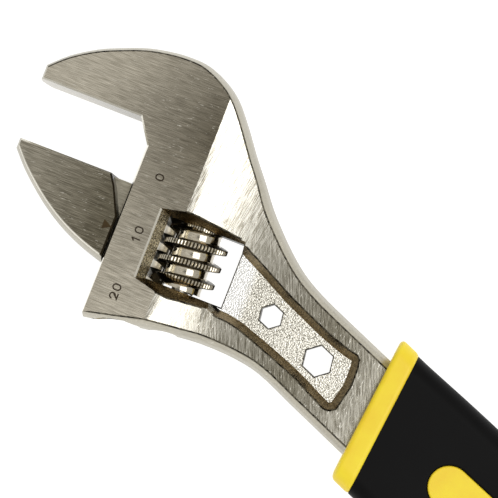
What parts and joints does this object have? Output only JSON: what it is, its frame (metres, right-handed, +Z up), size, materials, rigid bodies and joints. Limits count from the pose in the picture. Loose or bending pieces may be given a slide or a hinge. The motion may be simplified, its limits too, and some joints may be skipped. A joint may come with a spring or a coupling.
{
  "type": "adjustable wrench",
  "caption": "Adjustable wrench lying flat: forged head with a fixed jaw, a sliding jaw driven by a knurled worm on a pin, and a two-part moulded grip with a hanging hole.",
  "frame": {"origin": "middle of the fixed jaw's face, on the forging's parting plane", "axes": "+X along the handle towards its hanging hole, +Z up out of the flat tool, +Y towards the fixed jaw's side. The jaw faces are turned 22.5 degrees from +X, and the jaw opens along [0.383, -0.924, 0]."},
  "size_m": [0.1574, 0.0445, 0.0154],
  "materials": {
    "forged_steel": "satin chrome over a brushed and blasted forging",
    "jaw_steel": "satin chrome, brushed faces",
    "worm_steel": "bright chrome, knurled crest",
    "pin_steel": "turned and hardened",
    "spring_steel": "drawn wire",
    "grip_yellow": "satin moulded",
    "grip_black": "soft satin moulded rubber",
    "mark_ink": "matt fill"
  },
  "bodies": {
    "wrench_body": {"body": "forged_steel", "worm_pin": "pin_steel", "worm_spring": "spring_steel", "grip_core": "grip_yellow", "grip_cover": "grip_black", "scale_marks": "mark_ink"},
    "sliding_jaw": {"movable_jaw": "jaw_steel", "index_mark": "mark_ink"},
    "worm_screw": {"worm": "worm_steel"}
  },
  "joints": [
    {"name": "jaw_slide", "type": "slide", "parent": "wrench_body", "child": "sliding_jaw", "axis": [0.3827, -0.9239, 0], "range_m": [-0.0104, 0.0096]},
    {"name": "worm_turn", "type": "hinge", "parent": "wrench_body", "child": "worm_screw", "pos_m": [0.02995, -0.00816, 0], "axis": [0.3827, -0.9239, 0], "range_deg": [-1153, 1249]}
  ],
  "couplings": [
    {"joint": "worm_turn", "follows": "jaw_slide", "rad_per_m": -2094.4}
  ]
}
